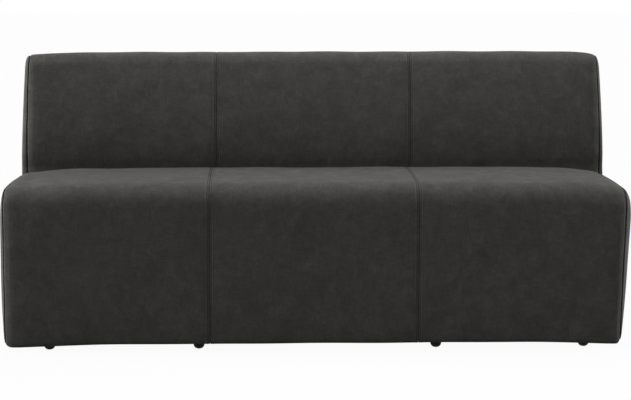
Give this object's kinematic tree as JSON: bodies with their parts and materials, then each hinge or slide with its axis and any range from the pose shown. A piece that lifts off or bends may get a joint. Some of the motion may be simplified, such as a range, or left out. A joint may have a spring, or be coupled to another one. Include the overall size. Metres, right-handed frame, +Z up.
{
  "type": "dining banquette",
  "caption": "Armless upholstered dining bench with a leaning padded back, panelled seat rolled over its front edge, and low domed levelling feet.",
  "frame": {"origin": "on the floor, under the middle of the bench's outer box", "axes": "+X along the bench towards the right end as seen from in front; the seat faces -Y; +Z up"},
  "size_m": [1.8, 0.6388, 0.8277],
  "materials": {
    "upholstery": "matte",
    "plywood": "satin",
    "pine": "satin",
    "hardboard": "matte",
    "foam": "matte",
    "wadding": "matte",
    "felt": "matte",
    "webbing": "matte",
    "dust_cloth": "matte",
    "spring_steel": "satin",
    "zinc_steel": "satin",
    "glide_plastic": "satin"
  },
  "bodies": {
    "bench": {"back_cover_left": "upholstery", "back_cover_middle": "upholstery", "back_cover_right": "upholstery", "back_end_pad_left": "foam", "back_end_pad_right": "foam", "back_foam": "foam", "back_hardboard": "hardboard", "back_rib_inner_left": "plywood", "back_rib_inner_right": "plywood", "back_rib_left": "plywood", "back_rib_right": "plywood", "back_side_cover_left": "upholstery", "back_side_cover_right": "upholstery", "back_top_rail": "pine", "back_wadding": "wadding", "back_webbing": "webbing", "dust_cloth": "dust_cloth", "frame_screws": "zinc_steel", "front_base_rail": "pine", "joining_bolts": "zinc_steel", "joining_rail": "pine", "rear_base_rail": "pine", "rear_cover": "upholstery", "seat_corner_blocks": "pine", "seat_cover_left": "upholstery", "seat_cover_middle": "upholstery", "seat_cover_right": "upholstery", "seat_divider_left": "plywood", "seat_divider_right": "plywood", "seat_end_board_left": "plywood", "seat_end_board_right": "plywood", "seat_end_pad_left": "foam", "seat_end_pad_right": "foam", "seat_foam": "foam", "seat_front_board": "plywood", "seat_rear_board": "plywood", "seat_side_cover_left": "upholstery", "seat_side_cover_right": "upholstery", "seat_springs": "spring_steel", "seat_wadding": "wadding", "spring_clips": "zinc_steel", "spring_felt": "felt", "tacking_rail": "pine", "tee_nuts": "zinc_steel"},
    "foot_front_outer_left": {"glide_front_outer_left": "glide_plastic", "stud_front_outer_left": "zinc_steel"},
    "foot_front_inner_left": {"glide_front_inner_left": "glide_plastic", "stud_front_inner_left": "zinc_steel"},
    "foot_front_inner_right": {"glide_front_inner_right": "glide_plastic", "stud_front_inner_right": "zinc_steel"},
    "foot_front_outer_right": {"glide_front_outer_right": "glide_plastic", "stud_front_outer_right": "zinc_steel"},
    "foot_rear_outer_left": {"glide_rear_outer_left": "glide_plastic", "stud_rear_outer_left": "zinc_steel"},
    "foot_rear_inner_left": {"glide_rear_inner_left": "glide_plastic", "stud_rear_inner_left": "zinc_steel"},
    "foot_rear_inner_right": {"glide_rear_inner_right": "glide_plastic", "stud_rear_inner_right": "zinc_steel"},
    "foot_rear_outer_right": {"glide_rear_outer_right": "glide_plastic", "stud_rear_outer_right": "zinc_steel"}
  },
  "joints": [
    {"name": "level_front_outer_left", "type": "slide", "parent": "bench", "child": "foot_front_outer_left", "axis": [0, 0, -1], "range_m": [0, 0.01]},
    {"name": "level_front_inner_left", "type": "slide", "parent": "bench", "child": "foot_front_inner_left", "axis": [0, 0, -1], "range_m": [0, 0.01]},
    {"name": "level_front_inner_right", "type": "slide", "parent": "bench", "child": "foot_front_inner_right", "axis": [0, 0, -1], "range_m": [0, 0.01]},
    {"name": "level_front_outer_right", "type": "slide", "parent": "bench", "child": "foot_front_outer_right", "axis": [0, 0, -1], "range_m": [0, 0.01]},
    {"name": "level_rear_outer_left", "type": "slide", "parent": "bench", "child": "foot_rear_outer_left", "axis": [0, 0, -1], "range_m": [0, 0.01]},
    {"name": "level_rear_inner_left", "type": "slide", "parent": "bench", "child": "foot_rear_inner_left", "axis": [0, 0, -1], "range_m": [0, 0.01]},
    {"name": "level_rear_inner_right", "type": "slide", "parent": "bench", "child": "foot_rear_inner_right", "axis": [0, 0, -1], "range_m": [0, 0.01]},
    {"name": "level_rear_outer_right", "type": "slide", "parent": "bench", "child": "foot_rear_outer_right", "axis": [0, 0, -1], "range_m": [0, 0.01]}
  ]
}
